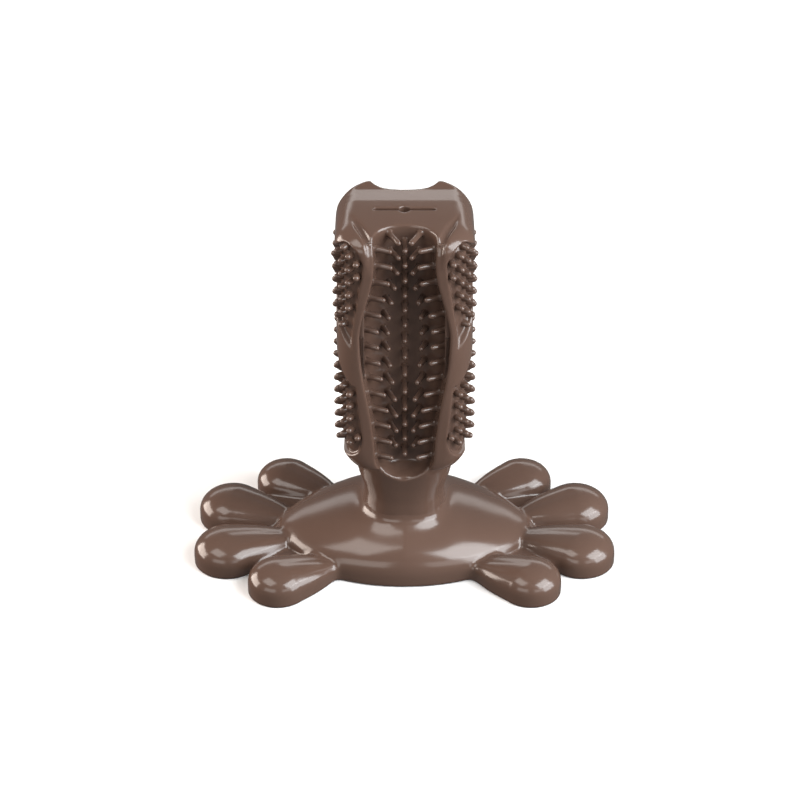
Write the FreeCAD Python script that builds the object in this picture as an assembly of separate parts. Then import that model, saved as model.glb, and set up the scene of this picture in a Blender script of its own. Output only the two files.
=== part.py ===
"""Dog chew toothbrush: a paw-shaped base, an oval stem and a four-sided brush head.

Row frame: +Z up, +X across the paws, -Y towards the front bristle trough. The origin is
the centre of the underside. All lengths are in millimetres.
"""

import FreeCAD
import Part

import math
import os

from FreeCAD import Vector as V

# ---- driving dimensions ---------------------------------------------------------------
BASE_WIDTH = 125.0
BASE_DEPTH = 73.0
TOTAL_HEIGHT = 110.2

# Dome in the middle of the base: half sizes in X, Y and Z, and its upright rim.
DOME = (38.4, 24.4, 17.0)
DOME_RIM = 3.0

# A toe is an oval pebble: half length, half width, height, upright rim, lean from the X axis.
OUTER_TOE = {"a": 12.5, "b": 9.6, "height": 10.6, "rim": 3.4, "lean": 14.0}
INNER_TOE = {"a": 11.8, "b": 9.0, "height": 9.6, "rim": 3.4, "lean": 40.0}
OUTER_TOE_GAP = 1.0
INNER_TOE_X = 33.8
# The tail of a toe, as fractions of the toe: how far inwards, how long, how wide, how high.
TOE_TAIL = {"shift": 0.62, "length": 1.0, "width": 0.78, "height": 0.88}
WEB = {"x": 33.0, "a": 14.0, "b": 21.0, "height": 3.4}

# Stem: an oval neck that flares into the head, and a round core that carries the head.
STEM_FOOT_Z = 5.0
NECK = (12.2, 14.4)
NECK_FLARE_Z = 21.0
NECK_TOP = (14.6, 15.2)
NECK_TOP_Z = 33.0
NECK_END_Z = 38.5
CORE_RADIUS = 5.0
CORE_TOP_Z = 102.0

# Paste channel down the core from the filler hole, with its outlets to the two troughs.
CHANNEL_RADIUS = 1.5
CHANNEL_FLOOR_Z = 46.0
OUTLET_RADIUS = 0.8
OUTLET_HEIGHTS = (51.7, 71.8, 91.9)

# Head: half width, half depth, corner radius, rounding of the top edge.
HEAD_HALF_X = 19.0
HEAD_HALF_Y = 17.5
HEAD_CORNER = 8.0
TOP_ROUND = 3.0
LOW_ROUND = 1.6
HEAD_LOW_Z = 35.0
HEAD_LOW_HALF_X = 14.8
SHOULDER_Z = 44.0

# Filler in the top face: a slit across the mouth of the channel.
SLIT_LENGTH = 17.0
SLIT_WIDTH = 1.4
SLIT_DEPTH = 3.0

# Trough, a vase seen from the front: height, half width, depth in front and depth behind.
TROUGH = (
    (32.4, 3.2, 2.6, 2.6), (34.0, 5.6, 3.6, 3.6), (36.3, 7.6, 4.8, 4.8), (39.0, 8.3, 6.3, 6.3),
    (44.0, 8.6, 7.7, 7.7), (49.0, 9.1, 8.5, 8.5), (57.0, 10.2, 9.5, 9.5), (63.0, 11.3, 10.0, 10.0),
    (69.5, 12.2, 10.3, 10.2), (77.0, 12.6, 10.4, 10.3), (84.0, 11.8, 10.2, 10.1),
    (90.0, 10.3, 9.8, 9.6), (96.0, 8.9, 9.4, 8.8), (101.0, 8.4, 9.2, 7.7), (106.0, 8.8, 9.1, 6.5),
    (113.0, 9.8, 9.2, 4.8),
)
TROUGH_POWER = 2.3
RING_POINTS = 16
STRIP_WALL = 1.3

# Trough bristles: place around the wall in degrees from the deepest line, height of the top
# one, pitch, and length (none where the length follows the tip line).
BRISTLE_ROWS = 14
BRISTLE_COLUMNS = (
    {"angle": 0.0, "top": 104.4, "pitch": 5.02, "length": None},
    {"angle": 27.0, "top": 107.0, "pitch": 5.0, "length": None},
    {"angle": 61.0, "top": 104.2, "pitch": 5.04, "length": 4.8},
)
# Tip line: height, and how far the tips stay behind the ribs' fronts.
TIP_LINE = (
    (39, 2.6), (44, 2.7), (49, 2.3), (54, 2.5), (59, 3.3), (64, 4.5), (69, 5.2), (74, 5.5),
    (79, 5.4), (84, 5.0), (89, 4.3), (94, 3.1), (99, 1.9), (107, 1.6),
)
BRISTLE_ROOT_RADIUS = 0.84
BRISTLE_TIP_RADIUS = 0.66
BRISTLE_SEAT = 0.6

# Side pads: how deep the pocket is, the pad's thickness, and its short nubs.
POCKET_DEPTH = 1.8
PAD_THICKNESS = 2.0
NUB_LENGTH = 3.0
NUB_ROOT_RADIUS = 1.22
NUB_TIP_RADIUS = 1.06
NUB_PITCH_Z = 3.93
NUB_STEP = 3.28
NUB_TOP_Z = 107.26
NUB_COLUMNS = 5
NUB_ROWS = 18
NUB_SEAT = 0.7
NUB_CLEAR = 1.35

# The pockets' edge along the right-hand rib, seen from the front and going down.
POCKET_EDGE = (
    (16.4, 107.4), (13.6, 105.5), (12.1, 103.5), (11.5, 101.0), (11.7, 98.0), (12.5, 93.6),
    (13.5, 87.0), (14.4, 81.0), (14.7, 77.0), (14.1, 71.0), (13.8, 66.0), (13.3, 58.0),
    (12.6, 51.0), (12.1, 44.5), (12.9, 41.0), (14.9, 38.4), (17.8, 36.2),
)
POCKET_LOW_Z = 37.6
# Arched lines on a side, as parabolas: height at mid depth and height 15 mm to each side.
ARCH_Y = 15.0
POCKET_TOP = (102.4, 107.8)
BAND_MIDDLE = (82.8, 71.3)
BAND_HALF_HEIGHT = 6.0
WINDOW_REACH = 19.0
BEYOND = 30.0


# ---- helpers --------------------------------------------------------------------------
def oval(half_x, half_y, z):
    """A closed elliptical wire in a level plane."""
    wire = Part.Wire(Part.Ellipse(V(0, 0, 0), max(half_x, half_y), min(half_x, half_y)).toShape())
    if half_y > half_x:
        wire.rotate(V(0, 0, 0), V(0, 0, 1), 90)
    wire.translate(V(0, 0, z))
    return wire


def ring(half_x, half_y, z, centre_y):
    """A closed, slightly squared oval spline, with its points at even turns so rings don't twist."""
    points = []
    for i in range(RING_POINTS):
        turn = 2 * math.pi * i / RING_POINTS
        x, y = (
            math.copysign(abs(part) ** (2 / TROUGH_POWER), part)
            for part in (math.cos(turn), math.sin(turn))
        )
        points.append(V(half_x * x, centre_y + half_y * y, z))
    curve = Part.BSplineCurve()
    curve.interpolate(Points=points, PeriodicFlag=True)
    return Part.Wire(curve.toShape())


def prism(wire, direction):
    """The solid that a closed flat wire sweeps out along a vector."""
    return Part.Face(wire).extrude(direction)


def half_ellipsoid(a, b, c):
    """The upper half of an ellipsoid, on its level mid-plane."""
    ball = Part.makeSphere(1.0, V(0, 0, 0), V(0, 0, 1), 0, 90, 360)
    scale = FreeCAD.Matrix()
    scale.scale(a, b, c)
    return ball.transformGeometry(scale)


def pebble(a, b, height, rim):
    """An oval pebble with an upright rim and a domed top, standing on the ground plane."""
    top = half_ellipsoid(a, b, height - rim)
    top.translate(V(0, 0, rim))
    return prism(oval(a, b, 0), V(0, 0, rim)).fuse(top)


def one_solid(shape):
    """The shape's only solid, cleaned of split faces."""
    shape = shape.removeSplitter()
    if len(shape.Solids) != 1:
        volumes = [round(s.Volume, 2) for s in shape.Solids]
        raise ValueError(f"expected one solid, got volumes {volumes}")
    return shape.Solids[0]


def rounded_rectangle(half_x, half_y, radius, z):
    """A level rectangle wire with round corners."""
    x, y, r = half_x, half_y, radius
    k = r * (1 - math.sqrt(0.5))
    corners = []
    for sx, sy in ((1, 1), (-1, 1), (-1, -1), (1, -1)):
        ends = (V(sx * x, sy * (y - r), z), V(sx * (x - r), sy * y, z))
        if sx * sy < 0:
            ends = ends[::-1]
        corners.append((ends[0], V(sx * (x - k), sy * (y - k), z), ends[1]))
    edges = []
    for i, (start, middle, end) in enumerate(corners):
        edges.append(Part.Arc(start, middle, end).toShape())
        edges.append(Part.makeLine(end, corners[(i + 1) % 4][0]))
    return Part.Wire(edges)


def smooth(points):
    """A spline edge through points."""
    curve = Part.BSplineCurve()
    curve.interpolate(points)
    return curve.toShape()


def round_tipped_cone(root, direction, length, root_radius, tip_radius):
    """A bristle: a slim cone with a ball tip, whose overall length is as given."""
    shaft = length - tip_radius
    bend = tip_radius * math.sqrt(0.5)
    profile = [
        Part.makeLine(V(0, 0, 0), V(root_radius, 0, 0)),
        Part.makeLine(V(root_radius, 0, 0), V(tip_radius, 0, shaft)),
        Part.Arc(V(tip_radius, 0, shaft), V(bend, 0, shaft + bend), V(0, 0, length)).toShape(),
        Part.makeLine(V(0, 0, length), V(0, 0, 0)),
    ]
    bristle = Part.Face(Part.Wire(profile)).revolve(V(0, 0, 0), V(0, 0, 1), 360)
    bristle.Placement = FreeCAD.Placement(root, FreeCAD.Rotation(V(0, 0, 1), direction))
    return bristle


# ---- base -----------------------------------------------------------------------------
def toe(spec, side_x, side_y):
    """One teardrop toe of a paw, reaching to the base's outer limits."""
    lean = math.radians(spec["lean"])
    a, b = spec["a"], spec["b"]
    reach_x = math.hypot(a * math.cos(lean), b * math.sin(lean))
    reach_y = math.hypot(a * math.sin(lean), b * math.cos(lean))
    if spec is OUTER_TOE:
        x, y = BASE_WIDTH / 2 - reach_x, reach_y + OUTER_TOE_GAP
    else:
        x, y = INNER_TOE_X, BASE_DEPTH / 2 - reach_y
    tail = pebble(
        a * TOE_TAIL["length"],
        b * TOE_TAIL["width"],
        spec["height"] * TOE_TAIL["height"],
        spec["rim"],
    )
    tail.translate(V(-side_x * a * TOE_TAIL["shift"], 0, 0))
    body = pebble(a, b, spec["height"], spec["rim"]).fuse(tail)
    body.rotate(V(0, 0, 0), V(0, 0, 1), spec["lean"] * side_x * side_y)
    body.translate(V(side_x * x, side_y * y, 0))
    return body


def make_base():
    """Dome, webs and the eight toes in one piece, with the stem's socket in the middle."""
    pieces = []
    for side_x in (1, -1):
        web = prism(oval(WEB["a"], WEB["b"], 0), V(0, 0, WEB["height"]))
        web.translate(V(side_x * WEB["x"], 0, 0))
        pieces.append(web)
        for side_y in (1, -1):
            pieces.append(toe(OUTER_TOE, side_x, side_y))
            pieces.append(toe(INNER_TOE, side_x, side_y))
    body = pebble(DOME[0], DOME[1], DOME[2], DOME_RIM).fuse(pieces)
    socket = prism(oval(NECK[0], NECK[1], STEM_FOOT_Z), V(0, 0, DOME[2]))
    return one_solid(body.cut(socket))


# ---- trough and stem ------------------------------------------------------------------
def trough_void(side_y, wall=0.0):
    """The trough as a solid, or with a wall, the space of the strip around it."""
    wires = []
    for z, half_width, *depths in TROUGH:
        depth = depths[0] if side_y < 0 else depths[1]
        wires.append(ring(half_width + wall, depth + wall, z, side_y * HEAD_HALF_Y))
    return Part.makeLoft(wires, True, True)


def channel():
    """The paste channel from the top face down the middle of the core."""
    depth = TOTAL_HEIGHT + 1 - CHANNEL_FLOOR_Z
    return Part.makeCylinder(CHANNEL_RADIUS, depth, V(0, 0, CHANNEL_FLOOR_Z))


def outlets():
    """The cross holes that lead paste from the channel to both troughs."""
    holes = [
        Part.makeCylinder(OUTLET_RADIUS, 2 * HEAD_HALF_Y, V(0, -HEAD_HALF_Y, z), V(0, 1, 0))
        for z in OUTLET_HEIGHTS
    ]
    return Part.makeCompound(holes)


def make_stem(strip_spaces):
    """Neck and core with the paste channel, hollowed where the troughs run out on the neck."""
    neck = prism(oval(NECK[0], NECK[1], STEM_FOOT_Z), V(0, 0, NECK_FLARE_Z - STEM_FOOT_Z))
    flare = Part.makeLoft(
        [oval(NECK[0], NECK[1], NECK_FLARE_Z), oval(NECK_TOP[0], NECK_TOP[1], NECK_TOP_Z)], True
    )
    collar = prism(oval(NECK_TOP[0], NECK_TOP[1], NECK_TOP_Z), V(0, 0, NECK_END_Z - NECK_TOP_Z))
    core = Part.makeCylinder(CORE_RADIUS, CORE_TOP_Z - NECK_TOP_Z, V(0, 0, NECK_TOP_Z))
    solid = neck.fuse([flare, collar, core])
    scoops = [trough_void(side_y) for side_y in (-1, 1)]
    return one_solid(solid.cut([channel(), outlets(), *strip_spaces, *scoops]))


# ---- head -----------------------------------------------------------------------------
def front_profile():
    """The head's outline seen from the front, swept through its depth."""
    x, low_x, top = HEAD_HALF_X, HEAD_LOW_HALF_X, TOTAL_HEIGHT
    r = TOP_ROUND
    k = r * (1 - math.sqrt(0.5))
    spread, rise = x - low_x, SHOULDER_Z - HEAD_LOW_Z
    shoulder_r = (spread**2 + rise**2) / (2 * spread)
    half_turn = math.asin(rise / shoulder_r) / 2
    middle_x = x - shoulder_r * (1 - math.cos(half_turn))
    middle_z = SHOULDER_Z - shoulder_r * math.sin(half_turn)
    deep = V(0, 2 * BEYOND, 0)

    def at(px, pz):
        return V(px, -BEYOND, pz)

    edges = [Part.makeLine(at(-low_x, HEAD_LOW_Z), at(low_x, HEAD_LOW_Z))]
    for s in (1, -1):
        shoulder = Part.Arc(at(s * low_x, HEAD_LOW_Z), at(s * middle_x, middle_z), at(s * x, SHOULDER_Z))
        edges += [
            shoulder.toShape(),
            Part.makeLine(at(s * x, SHOULDER_Z), at(s * x, top - r)),
            Part.Arc(at(s * x, top - r), at(s * (x - k), top - k), at(s * (x - r), top)).toShape(),
        ]
    edges.append(Part.makeLine(at(x - r, top), at(r - x, top)))
    return prism(Part.Wire(Part.__sortEdges__(edges)), deep)


def side_profile():
    """The head's outline seen from the side, with eased corners at the top and the bottom."""
    y, low, top = HEAD_HALF_Y, HEAD_LOW_Z, TOTAL_HEIGHT
    wide = V(2 * BEYOND, 0, 0)

    def at(py, pz):
        return V(-BEYOND, py, pz)

    edges = [
        Part.makeLine(at(LOW_ROUND - y, low), at(y - LOW_ROUND, low)),
        Part.makeLine(at(TOP_ROUND - y, top), at(y - TOP_ROUND, top)),
    ]
    for s in (1, -1):
        edges.append(Part.makeLine(at(s * y, low + LOW_ROUND), at(s * y, top - TOP_ROUND)))
        for end, r, up in ((low, LOW_ROUND, 1), (top, TOP_ROUND, -1)):
            k = r * (1 - math.sqrt(0.5))
            arc = Part.Arc(
                at(s * y, end + up * r), at(s * (y - k), end + up * k), at(s * (y - r), end)
            )
            edges.append(arc.toShape())
    return prism(Part.Wire(Part.__sortEdges__(edges)), wide)


def head_block(inset=0.0):
    """The head's outer body, or the same set back from its four sides."""
    column = prism(
        rounded_rectangle(
            HEAD_HALF_X - inset, HEAD_HALF_Y - inset, HEAD_CORNER - inset, HEAD_LOW_Z - 1
        ),
        V(0, 0, TOTAL_HEIGHT),
    )
    block = front_profile().common(side_profile())
    if inset:
        shifted = [block.translated(V(s * inset, 0, 0)) for s in (1, -1)]
        block = shifted[0].common(shifted[1])
    return block.common(column)


def arch(line, y):
    """Height of an arched line on a side."""
    crown, end = line
    return crown + (end - crown) * (y / ARCH_Y) ** 2


def arch_slab(line, below, above, reach):
    """A slab through the head along X, between two offsets of an arched line."""
    steps = [reach * i / 4 for i in range(-4, 5)]
    low, high = (
        [V(-BEYOND, y, arch(line, y) + offset) for y in steps] for offset in (-below, above)
    )
    edges = [smooth(low), smooth(high)]
    edges += [Part.makeLine(low[0], high[0]), Part.makeLine(low[-1], high[-1])]
    return prism(Part.Wire(Part.__sortEdges__(edges)), V(2 * BEYOND, 0, 0))


def pocket_windows(side_x):
    """The spaces of the two side pockets, the upper one first."""
    rib_edge = smooth([V(side_x * x, -WINDOW_REACH, z) for x, z in POCKET_EDGE])
    (x0, z0), (x1, z1) = POCKET_EDGE[0], POCKET_EDGE[-1]
    far = side_x * BEYOND
    corners = [V(x, -WINDOW_REACH, z) for x, z in ((side_x * x1, z1), (far, z1), (far, z0))]
    corners.append(V(side_x * x0, -WINDOW_REACH, z0))
    edges = [rib_edge] + [Part.makeLine(a, b) for a, b in zip(corners, corners[1:])]
    both = prism(Part.Wire(edges), V(0, 2 * WINDOW_REACH, 0))
    sill = Part.makeBox(4 * BEYOND, 4 * BEYOND, POCKET_LOW_Z, V(-2 * BEYOND, -2 * BEYOND, 0))
    band = arch_slab(BAND_MIDDLE, BAND_HALF_HEIGHT, BAND_HALF_HEIGHT, WINDOW_REACH + 1)
    lintel = arch_slab(POCKET_TOP, 0, BEYOND, WINDOW_REACH + 1)
    spaces = both.cut([sill, band, lintel]).Solids
    if len(spaces) != 2:
        raise ValueError(f"expected two pockets, got {len(spaces)}")
    return sorted(spaces, key=lambda space: -space.CenterOfMass.z)


def slit():
    """The slit across the top face."""
    corner = V(-SLIT_LENGTH / 2, -SLIT_WIDTH / 2, TOTAL_HEIGHT - SLIT_DEPTH)
    return Part.makeBox(SLIT_LENGTH, SLIT_WIDTH, SLIT_DEPTH + 1, corner)


# ---- bristle strips -------------------------------------------------------------------
def row_at(table, z):
    """The values of a table at a height, in between its rows where needed."""
    for (z0, *low), (z1, *high) in zip(table, table[1:]):
        if z0 <= z <= z1:
            t = (z - z0) / (z1 - z0)
            return [a + t * (b - a) for a, b in zip(low, high)]
    raise ValueError(f"no row at {z}")


def trough_wall(side_y, degrees, z):
    """A point of a trough's wall, its inward direction and the trough's depth there."""
    half_width, *depths = row_at(TROUGH, z)
    depth = depths[0] if side_y < 0 else depths[1]
    s, c = math.sin(math.radians(degrees)), math.cos(math.radians(degrees))
    k = (abs(s) ** TROUGH_POWER + c**TROUGH_POWER) ** (-1 / TROUGH_POWER)
    wall = V(half_width * s * k, side_y * (HEAD_HALF_Y - depth * c * k), z)
    slant = -math.copysign(abs(s * k) ** (TROUGH_POWER - 1) / half_width, s)
    inward = V(slant, side_y * (c * k) ** (TROUGH_POWER - 1) / depth, 0)
    return wall, inward.normalize(), depth


def strip_bristles(side_y):
    """The bristles of one trough: rooted on its wall and pointing in and outwards."""
    found = []
    for column in BRISTLE_COLUMNS:
        for side_x in (1, -1) if column["angle"] else (1,):
            for row in range(BRISTLE_ROWS):
                z = column["top"] - row * column["pitch"]
                wall, direction, depth = trough_wall(side_y, side_x * column["angle"], z)
                length = column["length"] or depth - row_at(TIP_LINE, z)[0]
                found.append(
                    round_tipped_cone(
                        wall - direction * BRISTLE_SEAT,
                        direction,
                        length + BRISTLE_SEAT,
                        BRISTLE_ROOT_RADIUS,
                        BRISTLE_TIP_RADIUS,
                    )
                )
    return found


def make_strip(side_y, space, block):
    """One trough liner with its bristles, bored for the paste outlets."""
    shell = space.common(block).cut([trough_void(side_y), outlets()])
    return one_solid(shell.fuse(strip_bristles(side_y)))


# ---- side pads ------------------------------------------------------------------------
def nub_columns():
    """Where the columns of nubs stand on a pad's face: (x, y, direction)."""
    radius = HEAD_CORNER - POCKET_DEPTH
    centre_x, centre_y = HEAD_HALF_X - HEAD_CORNER, HEAD_HALF_Y - HEAD_CORNER
    columns = []
    for i in range(-NUB_COLUMNS, NUB_COLUMNS + 1):
        along = i * NUB_STEP
        past = max(abs(along) - centre_y, 0) / radius
        turn = math.copysign(past, along)
        y = math.copysign(min(abs(along), centre_y), along) + radius * math.sin(turn)
        columns.append((centre_x + radius * math.cos(turn), y, V(math.cos(turn), math.sin(turn), 0)))
    return columns


def room_in_pocket(x, y, z, upper):
    """How far a spot of a side's floor is from the edge of the upper or the lower pocket."""
    edge = sorted((z_here, x_here) for x_here, z_here in POCKET_EDGE)
    if not edge[0][0] < z < edge[-1][0]:
        return 0.0
    from_band = (z - arch(BAND_MIDDLE, y)) * (1 if upper else -1) - BAND_HALF_HEIGHT
    return min(x - row_at(edge, z)[0], arch(POCKET_TOP, y) - z, z - POCKET_LOW_Z, from_band)


def pad_nubs(side_x, upper):
    """Staggered nubs all over one pad, kept clear of its edge."""
    found = []
    for i, (x, y, direction) in enumerate(nub_columns()):
        out = V(side_x * direction.x, direction.y, 0)
        for row in range(NUB_ROWS):
            z = NUB_TOP_Z - (row + (1 - i % 2) / 2) * NUB_PITCH_Z
            if room_in_pocket(x, y, z, upper) < NUB_CLEAR:
                continue
            root = V(side_x * x, y, z) - out * NUB_SEAT
            length = NUB_LENGTH + NUB_SEAT
            found.append(round_tipped_cone(root, out, length, NUB_ROOT_RADIUS, NUB_TIP_RADIUS))
    return found


def make_pad(window, side_x, upper, face_block, back_block):
    """One side pad: a curved plate in its pocket, covered with nubs."""
    plate = face_block.cut(back_block).common(window)
    return one_solid(plate.fuse(pad_nubs(side_x, upper)))


# ---- assembly -------------------------------------------------------------------------
def build():
    """Every piece by its node name."""
    block = head_block()
    face_block = head_block(POCKET_DEPTH)
    back_block = head_block(POCKET_DEPTH + PAD_THICKNESS)
    spaces = {s: trough_void(s, STRIP_WALL) for s in (-1, 1)}
    stem = make_stem([space.common(block) for space in spaces.values()])
    pieces = {
        "paw_base": make_base(),
        "stem": stem,
        "front_bristle_strip": make_strip(-1, spaces[-1], block),
        "back_bristle_strip": make_strip(1, spaces[1], block),
    }
    beds = []
    for side_x, side in ((1, "right"), (-1, "left")):
        for window, level in zip(pocket_windows(side_x), ("upper", "lower")):
            name = f"{side}_{level}_bristle_pad"
            pieces[name] = make_pad(window, side_x, level == "upper", face_block, back_block)
            beds.append(block.cut(back_block).common(window))
    frame = block.cut([stem, channel(), slit(), outlets(), *spaces.values(), *beds])
    pieces["head_frame"] = one_solid(frame)
    return pieces


def main():
    os.makedirs("parts", exist_ok=True)
    for name, solid in build().items():
        solid.exportStep(f"parts/{name}.step")
        box = solid.BoundBox
        print(
            f"{name}: {solid.Volume / 1000:.1f} cm3, valid {solid.isValid()},"
            f" x {box.XMin:.1f}..{box.XMax:.1f} y {box.YMin:.1f}..{box.YMax:.1f}"
            f" z {box.ZMin:.1f}..{box.ZMax:.1f}"
        )


main()
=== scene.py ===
"""Looks of the dog chew toothbrush: glossy brown rubber, paw base, stem and bristled head."""
import math

import bpy
import numpy as np
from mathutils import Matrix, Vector


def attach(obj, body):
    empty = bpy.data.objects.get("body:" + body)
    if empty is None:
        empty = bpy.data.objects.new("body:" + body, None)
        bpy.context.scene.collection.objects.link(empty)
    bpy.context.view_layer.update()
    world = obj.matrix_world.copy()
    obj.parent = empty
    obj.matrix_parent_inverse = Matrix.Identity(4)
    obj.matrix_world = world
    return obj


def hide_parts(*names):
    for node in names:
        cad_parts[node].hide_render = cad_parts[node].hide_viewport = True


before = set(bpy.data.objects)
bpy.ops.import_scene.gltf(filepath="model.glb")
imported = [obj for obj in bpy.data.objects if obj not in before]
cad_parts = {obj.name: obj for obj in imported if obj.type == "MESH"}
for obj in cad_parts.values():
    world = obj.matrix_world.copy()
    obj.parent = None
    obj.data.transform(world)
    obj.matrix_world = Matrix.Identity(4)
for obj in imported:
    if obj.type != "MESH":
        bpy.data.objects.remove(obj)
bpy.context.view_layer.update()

MM = 0.001
ROOT = "root"


# ---- tables and blends -----------------------------------------------------------------
def curve(table, z):
    """A smooth value read from (z, value) rows with a monotone cubic."""
    rows = np.asarray(table, dtype=np.float64)
    xs, ys = rows[:, 0], rows[:, 1]
    gaps = np.diff(xs)
    slopes = np.diff(ys) / gaps
    tangent = np.zeros(len(xs))
    tangent[0], tangent[-1] = slopes[0], slopes[-1]
    same = slopes[:-1] * slopes[1:] > 0
    mean = 2 * slopes[:-1] * slopes[1:] / np.where(same, slopes[:-1] + slopes[1:], 1)
    tangent[1:-1] = np.where(same, mean, 0)
    z = np.clip(z, xs[0], xs[-1])
    i = np.clip(np.searchsorted(xs, z, side="right") - 1, 0, len(gaps) - 1)
    h = gaps[i]
    t = (z - xs[i]) / h
    return (
        ys[i] * (1 + 2 * t) * (1 - t) ** 2
        + tangent[i] * h * t * (1 - t) ** 2
        + ys[i + 1] * t * t * (3 - 2 * t)
        - tangent[i + 1] * h * t * t * (1 - t)
    )


def join(a, b, k):
    """Union of two distance fields with a soft fillet of size k."""
    h = np.maximum(k - np.abs(a - b), 0) / k
    return np.minimum(a, b) - h * h * h * k / 6


def meet(a, b, k):
    """Intersection with a soft edge of size k."""
    return -join(-a, -b, k)


def carve(a, b, k):
    """a with b taken away, with a soft edge of size k."""
    return meet(a, -b, k)


def smoothstep(low, high, v):
    """0 below low, 1 above high and a soft step between them."""
    t = np.clip((v - low) / (high - low), 0, 1)
    return t * t * (3 - 2 * t)


# ---- implicit surface to mesh ----------------------------------------------------------
def slope(field, p, step=0.02):
    """Gradient of a field at points."""
    out = np.empty_like(p)
    for axis in range(3):
        d = np.zeros(3)
        d[axis] = step
        ahead, behind = p + d, p - d
        out[:, axis] = field(*ahead.T) - field(*behind.T)
    return out / (2 * step)


def settle(field, p, limit, turns=3):
    """Points moved onto the field's zero surface."""
    for _ in range(turns):
        g = slope(field, p)
        move = field(*p.T)[:, None] * g / np.maximum((g * g).sum(axis=1), 1e-6)[:, None]
        length = np.linalg.norm(move, axis=1, keepdims=True)
        p = p - move * np.minimum(1, limit / np.maximum(length, 1e-9))
    return p


def surface(field, low, high, cell):
    """Quads on the zero surface of a field inside a box, as (points, faces)."""
    axes = [np.arange(a - cell, b + 2 * cell, cell) for a, b in zip(low, high)]
    shape = [len(a) for a in axes]
    values = np.empty(shape, dtype=np.float32)
    gy, gz = np.meshgrid(axes[1], axes[2], indexing="ij")
    for i, x in enumerate(axes[0]):
        values[i] = field(np.full_like(gy, x), gy, gz)
    inside = values < 0
    corners = np.zeros([n - 1 for n in shape], dtype=np.int8)
    for dx in (0, 1):
        for dy in (0, 1):
            for dz in (0, 1):
                corners += inside[
                    dx : shape[0] - 1 + dx, dy : shape[1] - 1 + dy, dz : shape[2] - 1 + dz
                ]
    live = np.argwhere((corners > 0) & (corners < 8))
    index = -np.ones(corners.shape, dtype=np.int64)
    index[tuple(live.T)] = np.arange(len(live))
    total = np.zeros((len(live), 3))
    hits = np.zeros(len(live))
    for axis in range(3):
        for off_a in (0, 1):
            for off_b in (0, 1):
                start = np.zeros(3, dtype=np.int64)
                others = [n for n in range(3) if n != axis]
                start[others[0]], start[others[1]] = off_a, off_b
                end = start.copy()
                end[axis] = 1
                v0 = values[tuple((live + start).T)]
                v1 = values[tuple((live + end).T)]
                cross = (v0 < 0) != (v1 < 0)
                t = np.where(cross, v0 / np.where(cross, v0 - v1, 1), 0)
                where = live + start + t[:, None] * (end - start)
                total += where * cross[:, None]
                hits += cross
    points = total / hits[:, None] * cell + np.array([a[0] for a in axes])
    faces = []
    for axis in range(3):
        b, c = [n for n in range(3) if n != axis]
        first = [slice(1, -1)] * 3
        first[axis] = slice(0, -1)
        second = list(first)
        second[axis] = slice(1, None)
        a_in, b_in = inside[tuple(first)], inside[tuple(second)]
        edges = np.argwhere(a_in != b_in)
        grow = a_in[tuple(edges.T)]
        edges[:, [n for n in range(3) if n != axis]] += 1
        ring = []
        for off_b, off_c in ((0, 0), (-1, 0), (-1, -1), (0, -1)):
            near = edges.copy()
            near[:, b] += off_b
            near[:, c] += off_c
            ring.append(index[tuple(near.T)])
        quads = np.stack(ring, axis=1)
        flip = grow if axis != 1 else ~grow
        quads[~flip] = quads[~flip][:, ::-1]
        faces.append(quads)
    faces = np.concatenate(faces)
    points = settle(field, points, cell * 0.7)
    for _ in range(2):
        points = settle(field, relaxed(points, faces), cell * 0.7, 2)
    return points, faces


def relaxed(points, faces):
    """Points drawn half way to the mean of their neighbours."""
    total = np.zeros_like(points)
    count = np.zeros(len(points))
    for i in range(4):
        a, b = faces[:, i], faces[:, (i + 1) % 4]
        for p, q in ((a, b), (b, a)):
            for axis in range(3):
                total[:, axis] += np.bincount(p, points[q, axis], len(points))
            count += np.bincount(p, minlength=len(points))
    return 0.5 * points + 0.5 * total / np.maximum(count, 1)[:, None]


def make_object(name, parts, material, nodes):
    """One smooth-shaded mesh object from (points, faces) parts in millimetres."""
    points, faces, start = [], [], 0
    for p, f in parts:
        points.append(np.asarray(p, dtype=np.float64))
        faces += [tuple(int(i) + start for i in face) for face in f]
        start += len(p)
    mesh = bpy.data.meshes.new(name)
    mesh.from_pydata((np.concatenate(points) * MM).tolist(), [], faces)
    mesh.validate()
    mesh.polygons.foreach_set("use_smooth", [True] * len(mesh.polygons))
    mesh.materials.append(material)
    mesh.update()
    obj = bpy.data.objects.new(name, mesh)
    bpy.context.scene.collection.objects.link(obj)
    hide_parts(*nodes)
    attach(obj, ROOT)
    return obj


# ---- base ------------------------------------------------------------------------------
# A toe: outer end (x, y), inner end (x, y), then radius and height at the outer and inner end.
TOES = (
    {"out": (52.0, 11.2), "in": (33.5, 4.8), "r": (9.9, 2.4), "h": (9.8, 5.8)},
    {"out": (36.4, 26.4), "in": (20.0, 17.4), "r": (8.9, 2.0), "h": (9.4, 4.6)},
)
TOE_SKIRT = 3.2
TOE_SWELL = 0.12
TOE_POWER = 2.3
TOE_SCALE = 0.85

DOME_X, DOME_Y = 38.0, 24.3
DOME_TIP_Y = 0.8
DOME_OUTLINE = (2.1, 0.62)
DOME_SKIRT = 3.0
DOME_POWER = 2.2
DOME_RIDGE = ((0, 17.0), (12, 15.4), (20, 13.1), (28, 10.4), (33, 8.5), (36.5, 6.6), (39, 4.0))

WEB_MIDDLE_X, WEB_HALF_X, WEB_HALF_Y, WEB_TOP = 30.0, 21.0, 23.0, 3.6
COLLAR_INSET, COLLAR_TOP = 0.25, 23.0
OVAL_POWER = 2.5
TOE_BLEND, WEB_BLEND, DOME_BLEND, COLLAR_BLEND = 1.2, 2.4, 2.0, 5.0


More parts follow.
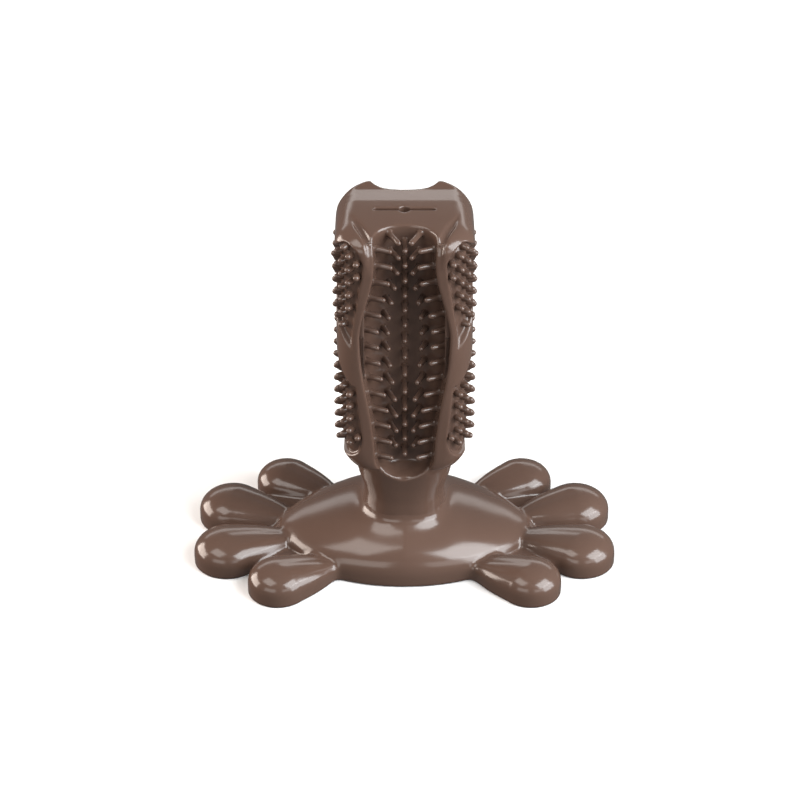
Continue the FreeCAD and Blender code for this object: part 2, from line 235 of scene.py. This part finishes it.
def toe_field(spec, x, y, z):
    """A teardrop pebble: a round outer end that tapers evenly inwards, with an upright skirt."""
    (ax, ay), (bx, by) = spec["in"], spec["out"]
    dx, dy = bx - ax, by - ay
    span = math.hypot(dx, dy)
    lean = (spec["r"][0] - spec["r"][1]) / span
    along = ((x - ax) * dx + (y - ay) * dy) / span
    across = np.abs((x - ax) * dy - (y - ay) * dx) / span
    t = np.clip((along + across * lean / math.sqrt(1 - lean**2)) / span, 0, 1)
    px, py = ax + dx * t, ay + dy * t
    swell = t + TOE_SWELL * np.sin(math.pi * t)
    radius = spec["r"][1] + (spec["r"][0] - spec["r"][1]) * swell
    height = spec["h"][1] + (spec["h"][0] - spec["h"][1]) * swell - TOE_SKIRT
    up = np.maximum(z - TOE_SKIRT, 0) * radius / height
    flat = np.hypot(x - px, y - py)
    return (np.power(flat**TOE_POWER + up**TOE_POWER, 1 / TOE_POWER) - radius) * TOE_SCALE


def dome_field(x, y, z):
    """The almond-shaped pad between the paws, with steep flanks and a crowned ridge."""
    u = np.minimum(np.abs(x) / DOME_X, 1)
    half_y = DOME_Y * (1 - u ** DOME_OUTLINE[0]) ** DOME_OUTLINE[1] + DOME_TIP_Y
    up = np.maximum(z - DOME_SKIRT, 0) / (curve(DOME_RIDGE, np.abs(x)) - DOME_SKIRT)
    flat = np.hypot(y, np.maximum(np.abs(x) - DOME_X, 0)) / half_y
    reach = np.power(flat**DOME_POWER + up**DOME_POWER, 1 / DOME_POWER)
    return (reach - 1) * np.minimum(half_y, 12.0) * 0.8


def oval_field(x, y, half_x, half_y):
    """An upright column with an oval, slightly squared section."""
    r = np.power(
        (np.abs(x) / half_x) ** OVAL_POWER + (np.abs(y) / half_y) ** OVAL_POWER, 1 / OVAL_POWER
    )
    return (r - 1) * np.minimum(half_x, half_y)


def collar_field(x, y, z):
    """The neck's foot inside the base, which gives the fillet where the neck stands."""
    foot = oval_field(x, y, curve(NECK_X, z) - COLLAR_INSET, curve(NECK_Y, z) - COLLAR_INSET)
    return meet(foot, z - COLLAR_TOP, 1.0)


def web_field(x, y, z):
    """The thin floor between the toes and the pad."""
    r = np.hypot((np.abs(x) - WEB_MIDDLE_X) / WEB_HALF_X, y / WEB_HALF_Y)
    return meet((r - 1) * 16.0, z - WEB_TOP, 3.0)


def base_field(x, y, z):
    """The whole base with its flat underside at z = 0."""
    outer, inner = (toe_field(spec, np.abs(x), np.abs(y), z) for spec in TOES)
    body = join(web_field(x, y, z), join(outer, inner, TOE_BLEND), WEB_BLEND)
    body = join(body, dome_field(x, y, z), DOME_BLEND)
    body = join(body, collar_field(x, y, z), COLLAR_BLEND)
    return meet(body, -z, 1.2)


# ---- neck ------------------------------------------------------------------------------
NECK_X = (
    (10, 12.4), (14.5, 12.1), (16.5, 11.8), (21, 11.8), (25, 12.6), (28, 13.6), (33, 14.4),
    (40, 14.8),
)
NECK_Y = (
    (10, 15.0), (14.5, 14.8), (16.5, 14.4), (21, 14.4), (26, 14.9), (30, 15.7), (34, 16.7),
    (40, 17.0),
)
NECK_TOP = 39.0
NECK_FOOT = 5.0


def neck_field(x, y, z):
    """The oval neck, which flares under the head and carries the troughs' lower ends."""
    side = oval_field(x, y, curve(NECK_X, z), curve(NECK_Y, z))
    neck = meet(meet(side, z - NECK_TOP, 1.0), NECK_FOOT - z, 1.0)
    return carve(neck, trough_field(x, y, z), 0.8)


# ---- head ------------------------------------------------------------------------------
# Half widths, half depths and corner radii are (height, value) rows.
HEAD_TOP = 110.2
HEAD_LOW = 35.0
HEAD_X = (
    (34, 14.2), (35.5, 15.2), (37, 16.4), (39, 17.6), (42, 18.6), (46, 19.0), (98, 19.0),
    (103, 19.3), (106, 18.9), (108.5, 17.9), (110.5, 17.0),
)
HEAD_Y = (
    (34, 16.2), (36, 17.0), (38.5, 17.4), (42, 17.5), (102, 17.5), (107, 17.4), (110.5, 17.2),
)
HEAD_CORNER = ((34, 6.5), (42, 7.6), (98, 8.0), (106, 9.5), (110.5, 10.0))
TOP_EDGE_R = 3.8
REAR_EDGE_CUT = 2.0

RIB_Y = 17.5
TROUGH_W = (
    (30.5, 0.8), (32.4, 3.2), (34, 5.6), (36.3, 7.6), (39, 8.3), (44, 8.6), (50, 9.2), (57, 10.2),
    (64, 11.4), (71, 12.3), (78, 12.6), (85, 11.6), (92, 9.8), (97, 8.7), (101, 8.4), (106, 8.8),
    (112, 9.8),
)
TROUGH_D = (
    (30.5, 1.0), (32.2, 2.4), (32.8, 4.4), (34.2, 6.4), (35, 7.2), (40, 7.6), (47, 8.4), (54, 9.2),
    (64, 10.2), (74, 10.6), (85, 10.2), (95, 9.4), (104, 8.9), (112, 8.9),
)
TROUGH_D_BACK = TROUGH_D[:-3] + ((90, 9.7), (96, 8.8), (101, 7.7), (106, 6.5), (112, 5.0))
TROUGH_POWER = 2.3


def trough_depth(y, z):
    """Depth of the front or the back trough below its ribs."""
    return np.where(np.asarray(y) < 0, curve(TROUGH_D, z), curve(TROUGH_D_BACK, z))


def trough_field(x, y, z):
    """The vase-shaped trough void in front and behind."""
    w, d = curve(TROUGH_W, z), trough_depth(y, z)
    inward = np.maximum(RIB_Y - np.abs(y), 0) / d
    r = np.power((np.abs(x) / w) ** TROUGH_POWER + inward**TROUGH_POWER, 1 / TROUGH_POWER)
    return (r - 1) * np.minimum(w, d)


# The pockets' edges beside the ribs, as (height, distance from the middle plane) rows.
POCKET_EDGE = (
    (37.6, 17.5), (39.6, 14.9), (42, 12.9), (45.5, 12.1), (51, 12.6), (58, 13.3), (66, 13.8),
    (71, 14.1), (77, 14.7), (81, 14.4), (87, 13.5), (93.6, 12.5), (98, 11.7), (101, 11.5),
    (103.5, 12.1), (105.5, 13.6), (107, 16.0),
)
POCKET_DEPTH = 1.5
POCKET_LOW = 38.8
POCKET_HIGH_MIDDLE, POCKET_HIGH_RIB, POCKET_RIB_Y = 101.0, 107.2, 14.0
REAR_RISE = 0.3

BAND_END_Z, BAND_RISE, BAND_END_Y, BAND_HALF = 71.3, 11.5, 15.0, 6.0
BAND_SCALE = 0.8


def column_field(x, y, z):
    """The head's plain outer sides."""
    hx, hy, rc = curve(HEAD_X, z), curve(HEAD_Y, z), curve(HEAD_CORNER, z)
    qx, qy = np.abs(x) - hx + rc, np.abs(y) - hy + rc
    return np.hypot(np.maximum(qx, 0), np.maximum(qy, 0)) + np.minimum(np.maximum(qx, qy), 0) - rc


def band_middle(y):
    """Height of the middle of the arched band between the pockets."""
    t = np.clip(np.abs(y) / BAND_END_Y, 0, 1.1)
    return BAND_END_Z + BAND_RISE * (1 - t * t)


def band_field(y, z):
    """The smooth band between the pockets, seen from the side."""
    return (np.abs(z - band_middle(y)) - BAND_HALF) * BAND_SCALE


def pocket_top(y):
    """The pockets' upper edge, which rises from the middle of the side to the ribs."""
    t = np.clip(np.abs(y) / POCKET_RIB_Y, 0, 1)
    rise = np.where(np.asarray(y) < 0, 1.0, REAR_RISE) * (POCKET_HIGH_RIB - POCKET_HIGH_MIDDLE)
    return POCKET_HIGH_MIDDLE + rise * t * t


def pocket_field(x, y, z, column):
    """The shallow pockets on both sides."""
    beside = curve(POCKET_EDGE, z) - np.abs(x)
    ends = np.maximum(z - pocket_top(y), POCKET_LOW - z)
    window = meet(meet(beside, ends, 3.0), -band_field(y, z), 1.2)
    return meet(window, -(column + POCKET_DEPTH), 0.6)


# The fold around the flat top, as (y, x, height) from each front rib to the middle of the side.
FOLD = (
    (-18.4, 8.8, 102.0), (-17.5, 9.2, 106.3), (-15.9, 9.9, 109.3), (-11.6, 11.6, 110.1),
    (-5.5, 13.9, 110.2), (0.0, 15.6, 110.1),
)
FOLD_Y = np.linspace(FOLD[0][0], FOLD[-1][0], 24)
FOLD_X = curve([(y, x) for y, x, z in FOLD], FOLD_Y)
FOLD_Z = curve([(y, z) for y, x, z in FOLD], FOLD_Y)
FOLD_WAY = np.stack([FOLD_X, FOLD_Y, FOLD_Z], axis=1)
FOLD_LOW = 97

CROWN_Y, CROWN_SLOPE, CROWN_BEND = 4.6, 0.05, 500
CURL_Y, CURL = (11.5, 16.5), 1.0


def crown_drop(y):
    """How far the top falls away in front of its level part, and curls up at the rear edge."""
    ahead = np.maximum(CROWN_Y - y, 0)
    return CROWN_SLOPE * ahead + ahead**2 / CROWN_BEND - CURL * smoothstep(*CURL_Y, y)


def groove_field(x, y, z):
    """The fold that leaves each front rib and fades out along the side of the flat top."""
    shape = np.broadcast(x, y, z).shape
    best = np.full(shape, 9.0)
    near = np.broadcast_to(z, shape) > FOLD_LOW
    place = [np.broadcast_to(v, shape)[near] for v in (np.abs(x), y, z + crown_drop(y))]
    if not len(place[0]):
        return best
    gap = np.full(len(place[0]), 9.0)
    for start, end in zip(FOLD_WAY, FOLD_WAY[1:]):
        d = end - start
        t = sum((v - a) * b for v, a, b in zip(place, start, d)) / (d @ d)
        t = np.clip(t, 0, 1)
        off = [v - a - b * t for v, a, b in zip(place, start, d)]
        gap = np.minimum(gap, np.sqrt(off[0] ** 2 + off[1] ** 2 + off[2] ** 2))
    best[near] = gap + 0.5 - 1.4 * smoothstep(0, 10, -place[1])
    return best


SLIT_HALF, SLIT_WIDE, SLIT_DEEP = 8.5, 0.7, 3.0
HOLE_R, HOLE_DEEP = 1.5, 12.0


def slit_field(x, y, z):
    """The slit in the flat top and the filler hole in its middle."""
    side = np.maximum(np.abs(x) - SLIT_HALF, np.abs(y) - SLIT_WIDE)
    trench = np.maximum(side, HEAD_TOP - SLIT_DEEP - z)
    hole = np.maximum(np.hypot(x, y) - HOLE_R, HEAD_TOP - HOLE_DEEP - z)
    return np.minimum(trench, hole)


def head_field(x, y, z):
    """The head's frame: ribs, side bands and the flat top with its rounded edge."""
    column = column_field(x, y, z)
    edge = TOP_EDGE_R - REAR_EDGE_CUT * smoothstep(8, 14, y)
    a, b = column + edge, z - HEAD_TOP + crown_drop(y) + edge
    body = np.hypot(np.maximum(a, 0), np.maximum(b, 0)) + np.minimum(np.maximum(a, b), 0) - edge
    body = meet(body, HEAD_LOW - z, 1.6)
    body = carve(body, trough_field(x, y, z), 1.1)
    body = carve(body, pocket_field(x, y, z, column), 0.7)
    body = carve(body, groove_field(x, y, z), 1.6)
    return carve(body, slit_field(x, y, z), 0.25)


# ---- bristles --------------------------------------------------------------------------
BRISTLE_SIDES = 14


def bristle(root, direction, length, root_r, tip_r, flare=0.5, sink=0.5):
    """A slim rubber bristle with a flared root and a round tip, as (points, faces)."""
    d = np.asarray(direction, dtype=float)
    d /= np.linalg.norm(d)
    side = np.cross(d, (0.0, 0.0, 1.0))
    if np.linalg.norm(side) < 1e-3:
        side = np.cross(d, (1.0, 0.0, 0.0))
    side /= np.linalg.norm(side)
    up = np.cross(side, d)
    shaft = length - tip_r
    rings = [(-sink, root_r + flare), (0.05, root_r + flare * 0.55), (0.35, root_r + flare * 0.16)]
    rings += [(0.8, root_r)]
    rings += [(0.8 + (shaft - 0.8) * t, root_r + (tip_r - root_r) * t) for t in (0.35, 0.7, 1.0)]
    rings += [
        (shaft + tip_r * math.sin(a), tip_r * math.cos(a)) for a in np.radians((22, 45, 66, 82))
    ]
    turn = np.arange(BRISTLE_SIDES) * 2 * math.pi / BRISTLE_SIDES
    spoke = np.cos(turn)[:, None] * side + np.sin(turn)[:, None] * up
    points = [np.asarray(root) + d * h + spoke * r for h, r in rings]
    points.append(np.asarray(root)[None] + d * length)
    points.append(np.asarray(root)[None] - d * sink)
    n = BRISTLE_SIDES
    faces = []
    for k in range(len(rings) - 1):
        for i in range(n):
            j = (i + 1) % n
            faces.append((k * n + i, k * n + j, (k + 1) * n + j, (k + 1) * n + i))
    last, tip = (len(rings) - 1) * n, len(rings) * n
    for i in range(n):
        faces.append((last + i, last + (i + 1) % n, tip))
        faces.append((i, tip + 1, (i + 1) % n))
    return np.concatenate(points), faces


def trough_wall(angle, z, side_y):
    """A point of the trough's wall and its inward normal; the angle is from straight back."""
    w, d = float(curve(TROUGH_W, z)), float(trough_depth(side_y, z))
    s, c = math.sin(angle), math.cos(angle)
    k = (abs(s) ** TROUGH_POWER + abs(c) ** TROUGH_POWER) ** (-1 / TROUGH_POWER)
    x, depth = w * s * k, d * c * k
    nx = -math.copysign(abs(x / w) ** (TROUGH_POWER - 1) / w, s)
    ny = -abs(depth / d) ** (TROUGH_POWER - 1) / d
    n = np.array([nx, ny, 0.0])
    return np.array([x, -RIB_Y + depth, z]), n / np.linalg.norm(n)


# Bristle columns of a trough: wall angle in degrees, top height, pitch, rows and length.
# A length of 0 or less is counted from the tip line instead of from the wall.
COLUMNS = (
    {"angle": 0.0, "top": 104.4, "pitch": 5.02, "rows": 14, "length": 0.0},
    {"angle": 27.0, "top": 107.0, "pitch": 5.0, "rows": 14, "length": -0.4},
    {"angle": 61.0, "top": 104.2, "pitch": 5.04, "rows": 14, "length": 4.8},
)
TROUGH_BRISTLE_R = (0.92, 0.78)
# How far the bristle tips stay behind the ribs, as (height, distance) rows.
TIP_BACK = (
    (39, 2.6), (44, 2.7), (49, 2.3), (54, 2.5), (59, 3.3), (64, 4.5), (69, 5.4), (74, 5.8),
    (79, 5.7), (84, 5.2), (89, 4.5), (94, 3.6), (99, 3.0), (107, 1.4),
)
LINER_LOW, LINER_HIGH, LINER_ANGLE = 40.0, 107.0, 66


def sheet(front, back, rows, cols):
    """A closed thin layer between two grids of points, as (points, faces)."""
    count = rows * cols
    faces = []
    for r in range(rows - 1):
        for c in range(cols - 1):
            a, b = r * cols + c, r * cols + c + 1
            quad = (a, b, b + cols, a + cols)
            faces.append(quad)
            faces.append(tuple(i + count for i in quad[::-1]))
    border = [(0, c) for c in range(cols)]
    border += [(r, cols - 1) for r in range(1, rows)]
    border += [(rows - 1, c) for c in range(cols - 2, -1, -1)]
    border += [(r, 0) for r in range(rows - 2, 0, -1)]
    ids = [r * cols + c for r, c in border]
    for a, b in zip(ids, ids[1:] + ids[:1]):
        faces.append((b, a, a + count, b + count))
    return np.array(front + back), faces


def liner(side_y):
    """A thin layer on the trough's wall that carries the bristles, feathered at its edges."""
    zs = np.linspace(LINER_LOW, LINER_HIGH, 72)
    angles = np.radians(np.linspace(-LINER_ANGLE, LINER_ANGLE, 45))
    front, back = [], []
    for z in zs:
        for a in angles:
            p, n = trough_wall(a, z, side_y)
            edge = smoothstep(0, 3, z - LINER_LOW) * smoothstep(0, 3, LINER_HIGH - z)
            edge *= smoothstep(0, math.radians(9), math.radians(LINER_ANGLE) - abs(a))
            front.append(p + n * (-0.12 + 0.24 * edge))
            back.append(p - n * 0.5)
    return turned(*sheet(front, back, len(zs), len(angles)), side_y)


def turned(points, faces, side_y):
    """Parts made for the front, or the same turned round to the back."""
    if side_y < 0:
        return points, faces
    return np.asarray(points) * np.array([-1, -1, 1]), faces


def trough_bristles(side_y):
    """All bristles of the front or the back trough."""
    parts = []
    for column in COLUMNS:
        for s in (1, -1) if column["angle"] else (1,):
            for row in range(column["rows"]):
                z = column["top"] - row * column["pitch"]
                p, n = trough_wall(s * math.radians(column["angle"]), z, side_y)
                depth = float(trough_depth(side_y, z))
                length = column["length"]
                if length <= 0:
                    length += depth - float(curve(TIP_BACK, z))
                parts.append(turned(*bristle(p, n, length, *TROUGH_BRISTLE_R), side_y))
    return parts


# ---- side pads -------------------------------------------------------------------------
NUB_PITCH_Z = 3.93
# Columns of nubs by distance round the head from the middle of the side.
NUB_COLUMNS = (0, 3.28, 6.56, 9.84, 11.9, 13.9, 15.9, 17.9)
NUB_TOP_Z = 107.26
NUB_LOW_Z = 42.6
NUB_ROWS = 18
NUB_LENGTH, NUB_ROOT_R, NUB_TIP_R, NUB_FLARE = 2.5, 1.0, 0.86, 0.12
NUB_ROOM = 1.15
LAYER_UPPER, LAYER_LOWER, LAYER_HALF = (65.0, 107.0), (37.6, 78.5), 20.5


def section_point(s, inset, z):
    """A point of the head's right side at arc length s from the middle, and its normal."""
    hx, hy, rc = (float(curve(t, z)) - inset for t in (HEAD_X, HEAD_Y, HEAD_CORNER))
    flat = hy - rc
    side = math.copysign(1, s)
    if abs(s) <= flat:
        return np.array([hx, s, z]), np.array([1.0, 0.0, 0.0])
    a = min((abs(s) - flat) / rc, math.pi / 2)
    n = np.array([math.cos(a), side * math.sin(a), 0.0])
    return np.array([hx - rc + rc * math.cos(a), side * (flat + rc * math.sin(a)), z]), n


def pocket_room(p, upper):
    """How far a point of the pocket's floor is from the edge of the upper or the lower pocket."""
    x, y, z = p
    beside = (abs(x) - float(curve(POCKET_EDGE, z))) * 1.6
    ends = min(float(pocket_top(y)) - z, z - POCKET_LOW)
    above_band = (z - float(band_middle(y))) * (1 if upper else -1)
    return min(beside, ends, (above_band - BAND_HALF) * BAND_SCALE)


def mirrored(points, faces, side_x):
    """Parts made for the right side, or the same mirrored to the left."""
    if side_x < 0:
        faces = [f[::-1] for f in faces]
    return points * np.array([side_x, 1, 1]), faces


def pad(side_x, upper):
    """One pad: a thin feathered layer on the pocket's floor and its staggered nubs."""
    parts = []
    columns = [(i, s) for i, s in enumerate(NUB_COLUMNS)]
    columns += [(i, -s) for i, s in columns[1:]]
    for i, s in columns:
        for row in range(NUB_ROWS):
            z = NUB_TOP_Z - (row + (i % 2) / 2) * NUB_PITCH_Z
            p, n = section_point(s, POCKET_DEPTH, z)
            if pocket_room(p, upper) < NUB_ROOM or z < NUB_LOW_Z:
                continue
            nub = bristle(p, n, NUB_LENGTH, NUB_ROOT_R, NUB_TIP_R, flare=NUB_FLARE)
            parts.append(mirrored(*nub, side_x))
    parts.append(pad_layer(side_x, upper))
    return parts


def pad_layer(side_x, upper):
    """The layer under the nubs, which sinks into the frame where the pocket ends."""
    zs = np.linspace(*(LAYER_UPPER if upper else LAYER_LOWER), 50)
    ss = np.linspace(-LAYER_HALF, LAYER_HALF, 56)
    front, back = [], []
    for z in zs:
        for s in ss:
            p, n = section_point(s, POCKET_DEPTH, z)
            edge = smoothstep(0.2, 1.6, pocket_room(p, upper))
            front.append(p + n * (-0.2 + 0.28 * edge))
            back.append(p - n * 0.7)
    return mirrored(*sheet(front, back, len(zs), len(ss)), side_x)


# ---- material --------------------------------------------------------------------------
BROWN_LOW, BROWN_HIGH = (0.084, 0.049, 0.036, 1), (0.100, 0.060, 0.045, 1)
GRAIN = 0.04


def noise(tree, place, scale, detail):
    """A noise pattern fixed to the object."""
    texture = tree.nodes.new("ShaderNodeTexNoise")
    texture.inputs["Scale"].default_value = scale
    texture.inputs["Detail"].default_value = detail
    tree.links.new(place.outputs["Object"], texture.inputs["Vector"])
    return texture.outputs["Fac"]


def rubber(name, roughness):
    """Glossy moulded rubber: slow colour drift, faint mould texture and uneven polish."""
    mat = bpy.data.materials.new(name)
    mat.use_nodes = True
    tree = mat.node_tree
    nodes, links = tree.nodes, tree.links
    shader = nodes["Principled BSDF"]
    place = nodes.new("ShaderNodeTexCoord")
    ramp = nodes.new("ShaderNodeValToRGB")
    for element, position, colour in zip(
        ramp.color_ramp.elements, (0.3, 0.7), (BROWN_LOW, BROWN_HIGH)
    ):
        element.position = position
        element.color = colour
    links.new(noise(tree, place, 28, 4), ramp.inputs["Fac"])
    links.new(ramp.outputs["Color"], shader.inputs["Base Color"])
    spread = nodes.new("ShaderNodeMapRange")
    spread.inputs["To Min"].default_value = roughness - 0.03
    spread.inputs["To Max"].default_value = roughness + 0.05
    links.new(noise(tree, place, 90, 5), spread.inputs["Value"])
    links.new(spread.outputs["Result"], shader.inputs["Roughness"])
    bump = nodes.new("ShaderNodeBump")
    bump.inputs["Strength"].default_value = GRAIN
    bump.inputs["Distance"].default_value = 0.0002
    links.new(noise(tree, place, 900, 3), bump.inputs["Height"])
    links.new(bump.outputs["Normal"], shader.inputs["Normal"])
    return mat


body_rubber = rubber("glossy_brown_rubber", 0.16)
bristle_rubber = rubber("bristle_brown_rubber", 0.15)

# ---- the pieces ------------------------------------------------------------------------
COARSE = 1.0
base_mesh = surface(base_field, (-64, -38, -1), (64, 38, 25), 0.62 * COARSE)
make_object("moulded_paw_base", [base_mesh], body_rubber, ["paw_base"])
neck_mesh = surface(neck_field, (-16, -17, 4), (16, 17, 41), 0.6 * COARSE)
make_object("moulded_stem", [neck_mesh], body_rubber, ["stem"])
head_mesh = surface(head_field, (-20, -19, 33), (20, 19, 112), 0.42 * COARSE)
make_object("moulded_head_frame", [head_mesh], body_rubber, ["head_frame"])
for side_y, name in ((-1, "front_bristle_strip"), (1, "back_bristle_strip")):
    parts = trough_bristles(side_y) + [liner(side_y)]
    make_object("moulded_" + name, parts, bristle_rubber, [name])
for side_x, side in ((1, "right"), (-1, "left")):
    for upper, level in ((True, "upper"), (False, "lower")):
        name = f"{side}_{level}_bristle_pad"
        make_object("moulded_" + name, pad(side_x, upper), bristle_rubber, [name])


# ---- stage -----------------------------------------------------------------------------
FLOOR_HALF = 6.0
PART_MIDDLE = (0, 0, 0.05)


def floor():
    """A white floor that the part stands on, but neither mirrors nor takes light from."""
    mesh = bpy.data.meshes.new("studio_floor")
    size = FLOOR_HALF
    corners = [(-size, -size, 0), (size, -size, 0), (size, size, 0), (-size, size, 0)]
    mesh.from_pydata(corners, [], [(0, 1, 2, 3)])
    mat = bpy.data.materials.new("white_floor")
    mat.use_nodes = True
    shader = mat.node_tree.nodes["Principled BSDF"]
    shader.inputs["Base Color"].default_value = (0.93, 0.93, 0.93, 1)
    shader.inputs["Roughness"].default_value = 0.7
    shader.inputs["Specular IOR Level"].default_value = 0.1
    mesh.materials.append(mat)
    obj = bpy.data.objects.new("studio_floor", mesh)
    bpy.context.scene.collection.objects.link(obj)
    obj.visible_glossy = False
    obj.visible_diffuse = False


def aim(obj, toward):
    """Turns a lamp or a camera to look at a point."""
    way = Vector(toward) - obj.location
    obj.rotation_euler = way.to_track_quat("-Z", "Y").to_euler()


def lamp(name, at, toward, size, power, colour):
    """A rectangular softbox."""
    data = bpy.data.lights.new(name, "AREA")
    data.shape = "RECTANGLE"
    data.size, data.size_y = size
    data.energy = power
    data.color = colour
    obj = bpy.data.objects.new(name, data)
    bpy.context.scene.collection.objects.link(obj)
    obj.location = at
    aim(obj, toward)


floor()
lamp("left_warm", (-0.84, 0.20, 0.22), PART_MIDDLE, (0.74, 0.50), 11.5, (1.0, 0.87, 0.78))
lamp("right_cool", (0.84, -0.34, 0.27), PART_MIDDLE, (0.70, 0.52), 9.5, (0.94, 0.97, 1.0))
lamp("high_left", (-0.42, -0.26, 0.80), PART_MIDDLE, (0.60, 0.45), 3.6, (1.0, 0.96, 0.92))
lamp("high_right", (0.60, -0.34, 0.66), PART_MIDDLE, (0.75, 0.50), 11.0, (0.95, 0.98, 1.0))
lamp("front_left", (-0.55, -0.95, 0.36), PART_MIDDLE, (0.8, 0.42), 2.6, (1.0, 0.96, 0.92))
lamp("front_right", (0.60, -0.95, 0.36), PART_MIDDLE, (0.7, 0.36), 1.8, (1.0, 0.98, 0.97))
lamp("back_panel", (0.0, 2.0, 0.98), (0, 0, 0.98), (3.0, 0.36), 7.6, (1.0, 0.98, 0.96))

world = bpy.data.worlds.new("studio_world")
bpy.context.scene.world = world
world.use_nodes = True
backdrop = world.node_tree.nodes["Background"]
backdrop.inputs["Color"].default_value = (1, 1, 1, 1)
backdrop.inputs["Strength"].default_value = 0.17
bpy.context.scene.view_settings.view_transform = "Standard"

# ---- camera ----------------------------------------------------------------------------
ELEVATION = math.radians(31.0)
DISTANCE = 0.64962
AIM = (-0.0013, 0.0, 0.04862)
SENSOR_WIDTH, FOCAL_LENGTH = 36.0, 101.25
camera_data = bpy.data.cameras.new("photo_camera")
camera_data.sensor_width = SENSOR_WIDTH
camera_data.lens = FOCAL_LENGTH
camera = bpy.data.objects.new("photo_camera", camera_data)
bpy.context.scene.collection.objects.link(camera)
camera.location = (
    AIM[0],
    AIM[1] - DISTANCE * math.cos(ELEVATION),
    AIM[2] + DISTANCE * math.sin(ELEVATION),
)
aim(camera, AIM)
bpy.context.scene.camera = camera
